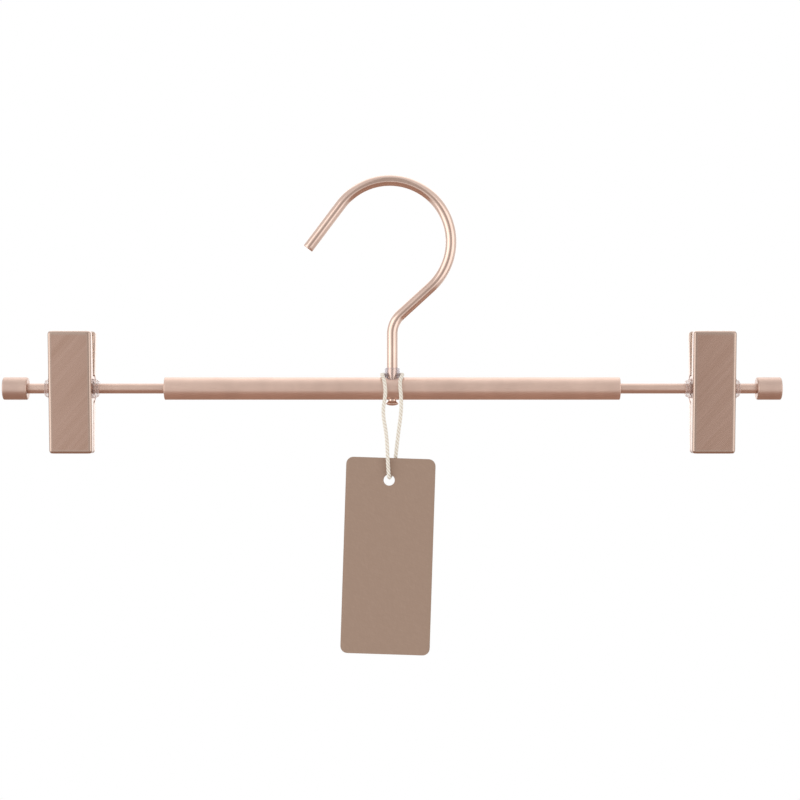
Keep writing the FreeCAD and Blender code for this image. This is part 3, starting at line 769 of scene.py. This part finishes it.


# a folded pan as rings round its rim: the plate from its spine out to the fold, the fold, the wall down to
# its free edge, the edge's thickness, and back up the inside; ears pressed in move the wall inwards near the
# pivot; each ring also says how much painted highlight its fold or edge takes, and how much painted light it
# takes as part of the inside
def jawGrid(look, pressed):
    half, corner, fold, sheet, burr = (look[k] for k in ("half", "corner", "fold", "sheet", "burr"))
    edge = freeEdge(look)
    rise = np.linspace(look["above"] - corner, corner - look["below"], look["sideColumns"])
    lip, foot = edge[0, 0], edge[-1, 0]
    tall = {1: look["above"], -1: look["below"]}
    turn = np.linspace(0, math.pi / 2, look["cornerSteps"])[1:-1]
    over = np.linspace(-1, 1, look["endColumns"])[1:-1] * (half - corner)
    one = np.ones_like

    # columns: rim place (x, z), way in (x, z), free edge (depth, height), way off the free edge
    def sideWall(sign):
        off = np.gradient(edge, axis=0)
        off = unit(np.stack([-off[:, 1], off[:, 0]], -1))
        return np.c_[sign * half * one(rise), rise, -sign * one(rise), 0 * rise, edge, off]

    def bend(signX, signZ, depth):
        c, s = np.cos(turn), np.sin(turn)
        x, h = signX * (half - corner + corner * c), signZ * (tall[signZ] - corner + corner * s)
        return np.c_[x, h, -signX * c, -signZ * s, depth * one(c), h, one(c), 0 * c]

    def endWall(signZ, depth):
        h = signZ * tall[signZ] * one(over)
        return np.c_[over, h, 0 * over, -signZ * one(over), depth * one(over), h, one(over), 0 * over]

    columns = np.concatenate([
        sideWall(-1)[::-1], bend(-1, 1, lip), endWall(1, lip), bend(1, 1, lip)[::-1],
        sideWall(1), bend(1, -1, foot), endWall(-1, foot)[::-1], bend(-1, -1, foot)[::-1]])
    rim, inward, free, off = columns[:, 0:2], columns[:, 2:4], columns[:, 4:6], columns[:, 6:8]
    spineReach = np.clip(rim[:, 1], -look["below"] + half, look["above"] - half)
    spine = np.stack([0 * spineReach, spineReach], -1)

    def ring(inset, depth, height=None):
        place = rim + inward * inset
        height = place[:, 1] if height is None else height + inward[:, 1] * inset
        return np.stack([place[:, 0], depth + 0 * height, height], -1)

    def wall(inset, share, lift):
        base = -look["plate"] + fold
        goal = free + off * lift
        depth = base + (goal[:, 0] - base) * share
        return ring(inset, depth, rim[:, 1] + (goal[:, 1] - rim[:, 1]) * share)

    def plate(inset, depth, shares):
        flat = rim + inward * inset
        return [upright(spine + (flat - spine) * share, depth) for share in shares]

    bends = 1 - polar(np.linspace(0, math.pi / 2, look["foldSteps"]))  # (1 - cos a, 1 - sin a) of a quarter
    roundIn, depthIn = look["insideFold"], -look["plate"] + sheet
    shares = np.array(look["plateShares"])
    down = np.linspace(0, 1, look["wallSteps"])[1:]
    rings = plate(fold, -look["plate"], shares)
    rings += [ring(fold * s, -look["plate"] + fold * c) for c, s in bends[1:]]
    rings += [wall(0, share, -burr) for share in down]
    rings += [wall(burr * c, 1, -burr * s) for c, s in bends[2::2]]
    rings += [wall(sheet - burr * c, 1, -burr * s) for c, s in bends[::-2]]
    rings += [wall(sheet, share, -burr) for share in down[::-1][1:]]
    rings += [ring(sheet + roundIn * s, depthIn + roundIn * c) for c, s in bends[::-1]]
    rings += plate(sheet + roundIn, depthIn, shares[::-1][1:])
    grid = np.stack(rings)

    foldRings, edgeRings = len(bends) - 1, len(bends[2::2]) + len(bends[::-2])
    # painted highlight on the plate's border and the folds, fading down the walls below them, and on the
    # free edges
    foldHighlight = np.concatenate([
        np.interp(shares, (foldHighlightSet["borderFrom"], 1), (0, foldHighlightSet["border"])),
        np.linspace(*foldHighlightSet["fold"], foldRings),
        foldHighlightSet["fold"][1] * np.exp(-down * foldHighlightSet["fade"]),
        np.full(edgeRings, foldHighlightSet["edge"])])
    foldHighlight = np.pad(foldHighlight, (0, len(rings) - len(foldHighlight)))
    inner = len(shares) + foldRings + len(down) + edgeRings - 2
    edgeSpan = (inner - edgeRings, inner - edgeRings + 1, inner - 1, inner)
    # painted light on the inside of the pan, and part of it on the free edge
    insideLit = np.interp(np.arange(len(rings)), edgeSpan, (0, foldHighlightSet["edgeInsideLit"], foldHighlightSet["edgeInsideLit"], 1))
    if pressed:
        reach = np.hypot(grid[..., 1], grid[..., 2])
        push = look["pressIn"] * smoothStep((look["pressStart"] - reach) / look["pressRun"])
        onWall = (inward[:, 1] == 0) & (np.abs(rim[:, 1]) < look["pressWall"])
        offPlate = np.zeros(len(rings), bool)
        offPlate[len(shares) - 1:len(rings) - len(shares) + 1] = True
        grid[..., 0] += push * inward[:, 0] * onWall * offPlate[:, None]
    return grid, {"fold": foldHighlight[:, None], "insideLit": insideLit[:, None]}


# joins the points that fall together on the plates' spines, and drops the faces then left with no area
def joinDoubles(piece, near=1e-6, thin=1e-7):
    mesh = bmesh.new()
    mesh.from_mesh(piece.data)
    bmesh.ops.remove_doubles(mesh, verts=mesh.verts, dist=near)
    bmesh.ops.dissolve_degenerate(mesh, edges=mesh.edges, dist=thin)
    mesh.to_mesh(piece.data)
    mesh.free()
    piece.data.set_sharp_from_angle(angle=sharpAngle)


earRun, earHole = clipSet["earRun"] * mm, clipSet["earHole"] * mm
for hand, x, word, back in jaws:
    grid, marks = jawGrid(clipSet, back)
    jaw = makePiece(f"{word}Jaw.{hand}", [gridSurface(leaned(grid, back, x), marks=marks)], plating["jaw"],
                    f"{hand}_{word}_jaw", [f"{word}_jaw_{hand}"])
    joinDoubles(jaw)
    cutHoles(jaw, [((x - earRun, 0, barZ), (x + earRun, 0, barZ), earHole)], plating["jaw"])
print("jaws made")

# ribbed grip pads in mm: half width, heights, ribs and the depth of their valleys, rows that close each end
padSet = {"half": 7.25, "low": -24.3, "high": -9.3, "ribs": 6, "valley": 0.6, "gap": 0.36, "edge": 0.35,
          "seat": 5.63, "rows": 140, "endRows": 4, "cornerSteps": 5}


# at each height the pad is a rounded rectangle from the plate to a face that waves rib by rib;
# the ends close in along a quarter circle
def padGrid(look):
    edge = look["edge"]
    height = np.linspace(look["low"], look["high"], look["rows"])
    share = (height - look["low"]) / (look["high"] - look["low"])
    wave = 0.5 - 0.5 * np.cos(fullTurn * share * look["ribs"])
    face = midDepth(height, look["gap"]) - look["valley"] * (1 - np.sqrt(wave))
    short = (1 - np.minimum(share, 1 - share) * look["rows"] / look["endRows"]).clip(0)
    inset = edge * (1 - np.sqrt(np.clip(1 - short ** 2, 0, 1)))
    near, far = -look["seat"] + edge + inset, face - edge - inset
    quarter = np.linspace(0, math.pi / 2, look["cornerSteps"])
    corners = ((-1, near, math.pi), (1, near, math.pi * 1.5), (1, far, 0), (-1, far, math.pi / 2))
    columns = []
    for sign, depth, start in corners:
        for a in start + quarter:
            aside = sign * (look["half"] - edge) + edge * math.cos(a) - sign * inset
            columns.append(np.stack([aside, depth + edge * math.sin(a), height], -1))
    return np.stack(columns, 1)


for hand, x, word, back in jaws:
    padSurface = gridSurface(leaned(padGrid(padSet), back, x), capped=True)
    makePiece(f"{word}Grip.{hand}", [padSurface], gripPlastic, f"{hand}_{word}_jaw",
              [f"{word}_pad_{hand}"])
print("grip pads made")

# clear bushes in mm from the clip's middle: (along, radius, rounding)
bushSet = {"outline": ((6.35, 2.06), (6.35, 2.75, 0.15), (8.7, 2.75), (8.7, 4.0, 0.4), (9.7, 4.0, 0.48),
                       (9.8, 3.42, 0.25), (10.9, 3.35, 0.85), (10.9, 2.06, 0.15))}
bushOutline = roundedOutline(bushSet["outline"])
for hand, side in sides:
    for word, way in (("outer", side), ("inner", -side)):
        bushSurface = turned(onSide(bushOutline, way), "x", (side * clipX, 0, barZ), closeRows=True)
        makePiece(f"{word}Bush.{hand}", [bushSurface], plastic["bush"], hand + "_slider",
                  [f"{word}_bush_{hand}"])
print("bushes made")

# torsion spring in mm: wire, radius of the turns, advance per turn, turns, how far the legs reach, room to
# the plate, and the length of each leg that stays with the turns
springSet = {"wire": 1.1, "radius": 3.3, "advance": 1.55, "turns": 2, "reach": 14.0, "room": 0.15,
             "plate": 5.63, "still": 3.4, "tipShare": 0.8, "around": 16, "coilSteps": 110, "legSteps": 40,
             "fixed": (1, 0.02, 0.01)}


# leg straight down the front jaw onto the turns, turns round the rod, and a leg up the back jaw: the line
# starts at the leg's tip and ends after half of the turns; the back half is the same line turned half round
def springLine(look):
    radius, footY = look["radius"], -(look["plate"] - look["wire"] / 2 - look["room"])
    foot = footY * polar(lean) + look["reach"] * polar(lean + math.pi / 2)
    reach = np.hypot(*foot)
    leave = math.atan2(-foot[0], foot[1]) + math.acos(radius / reach)
    sweep = 2 * (math.pi - leave) + fullTurn * look["turns"]
    rise = look["advance"] * sweep / fullTurn
    share = np.linspace(0, 0.5, look["coilSteps"])
    angle = leave + sweep * share
    coil = np.stack([rise * (share - 0.5), -radius * np.sin(angle), radius * np.cos(angle)], -1)
    away = unit(coil[0] - coil[1])
    leg = math.sqrt(reach ** 2 - radius ** 2)
    tip = coil[0] + away * np.linspace(leg, 0, look["legSteps"])[:-1, None]
    return np.concatenate([tip, coil]), coil[0], away, leg


springHalf, leaves, away, leg = springLine(springSet)
for hand, x, word, back in jaws:
    flip = np.array([-1, -1, 1]) if back else np.ones(3)
    place = np.array([x, 0, barZ])
    path = springHalf * flip * mm + place
    right, up = pathSides(path, springSet["fixed"])
    radii = springSet["wire"] / 2 * mm * np.ones(len(path))
    radii[0] *= springSet["tipShare"]
    grid = wireGrid(path, right, up, radii, springSet["around"])
    half = makePiece(f"{word}SpringHalf.{hand}", [gridSurface(grid, capped=True)], plating["spring"],
                     None, [] if back else ["clip_spring_" + hand])
    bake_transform(half)
print("springs made")

# studio: white all round, softboxes at the sides and behind, a pale floor below, and two glowing cards
# that show only in reflections; each box is (turn from the front, height angle, distance, width, height,
# brightness), in degrees and metres
studioSet = {
    "fill": 0.69,
    "boxes": ((-57, 6, 1.3, 1.25, 1.4, 1.1), (50, 6, 1.3, 1.1, 1.4, 0.8), (180, 40, 1.3, 1.6, 0.6, 0.35),
              (180, 55, 1.3, 1.6, 0.9, 0.35), (180, 70, 1.3, 1.6, 1.2, 0.35), (180, 8, 1.5, 1.4, 0.8, 0.8)),
    "floorZ": -0.60, "floorHalf": 1.3, "floorFade": (0.45, 1.25), "floorTint": (0.86, 0.845, 0.83),
    "floorRough": 0.9, "floorShine": 0.1,
    "cards": {
        "frontCard": {"x": (-0.29, 0.42), "y": (-1.5, -1.5), "z": (-0.53, 2.3), "tint": (1.0, 0.94, 0.91),
                      "glow": 0.60},
        "lowCard": {"x": (-0.65, 0.65), "y": (-0.9, 1.65), "z": (-0.59, -0.59), "tint": (1.0, 0.67, 0.54),
                    "glow": 0.5},
    },
}


# a softbox that faces the bar's middle; its power is its brightness times pi times its area
def addSoftbox(name, turnDeg, risesDeg, away, width, height, glow):
    data = bpy.data.lights.new(name, "AREA")
    data.shape, data.size, data.size_y = "RECTANGLE", width, height
    data.energy = glow * math.pi * width * height
    box = addObject(name, data)
    turn, rises = math.radians(turnDeg), math.radians(risesDeg)
    level = math.cos(rises)
    way = np.array([math.sin(turn) * level, -math.cos(turn) * level, math.sin(rises)])
    box.location = way * away + np.array([0, 0, barZ])
    box.rotation_euler = (math.pi / 2 - rises, 0, turn)
    box.visible_camera = False


# one flat face of the studio, from its left, near and low side to its right, far and high one
def addPanel(name, x, y, z, finish):
    mesh = bpy.data.meshes.new(name)
    corners = [(x[0], y[0], z[0]), (x[1], y[0], z[0]), (x[1], y[1], z[1]), (x[0], y[1], z[1])]
    mesh.from_pydata(corners, [], [(0, 1, 2, 3)])
    mesh.materials.append(finish)
    panel = addObject(name, mesh)
    return panel


# pale floor, solid under the object and fading out with the distance from it
def floorFinish(look):
    finish, tree, shader = newFinish("paleFloor", {
        "Base Color": (*look["floorTint"], 1), "Roughness": look["floorRough"],
        "Specular IOR Level": look["floorShine"]})
    place = addNode(tree, "ShaderNodeTexCoord").outputs["Object"]
    flat = addNode(tree, "ShaderNodeVectorMath", {0: place, 1: (1, 1, 0)}, operation="MULTIPLY")
    away = addNode(tree, "ShaderNodeVectorMath", {0: flat.outputs["Vector"]}, operation="LENGTH")
    fade = spread(tree, away.outputs["Value"], look["floorFade"], 1, 0, "SMOOTHSTEP")
    feed(tree, shader, {"Alpha": fade})
    return finish


# white world: strength 1 for camera, glossy and transmission rays, and the fill for the rest
def lightWorld(look):
    world = bpy.data.worlds.new("whiteStudio")
    bpy.context.scene.world = world
    world.use_nodes = True
    tree = world.node_tree
    rays = addNode(tree, "ShaderNodeLightPath").outputs
    direct = addNode(tree, "ShaderNodeMath", {0: rays["Is Camera Ray"], 1: rays["Is Glossy Ray"]},
                     operation="MAXIMUM").outputs[0]
    seen = addNode(tree, "ShaderNodeMath", {0: direct, 1: rays["Is Transmission Ray"]},
                   operation="MAXIMUM").outputs[0]
    strength = spread(tree, seen, (0, 1), look["fill"], 1)
    feed(tree, tree.nodes["Background"], {"Color": (1, 1, 1, 1), "Strength": strength})


# softboxes, the floor, and the glowing cards, hidden from all but reflections
def lightStudio(look):
    lightWorld(look)
    for k, box in enumerate(look["boxes"]):
        addSoftbox(f"softbox{k}", *box)
    span = (-look["floorHalf"], look["floorHalf"])
    addPanel("studioFloor", span, span, (look["floorZ"],) * 2, floorFinish(look))
    for name, card in look["cards"].items():
        glowing = newFinish(name, {
            "Base Color": (0, 0, 0, 1), "Specular IOR Level": 0.0,
            "Emission Color": (*card["tint"], 1), "Emission Strength": card["glow"]})[0]
        panel = addPanel(name, card["x"], card["y"], card["z"], glowing)
        panel.visible_camera = panel.visible_diffuse = False
        panel.visible_shadow = panel.visible_transmission = False


lightStudio(studioSet)
print("studio lit")
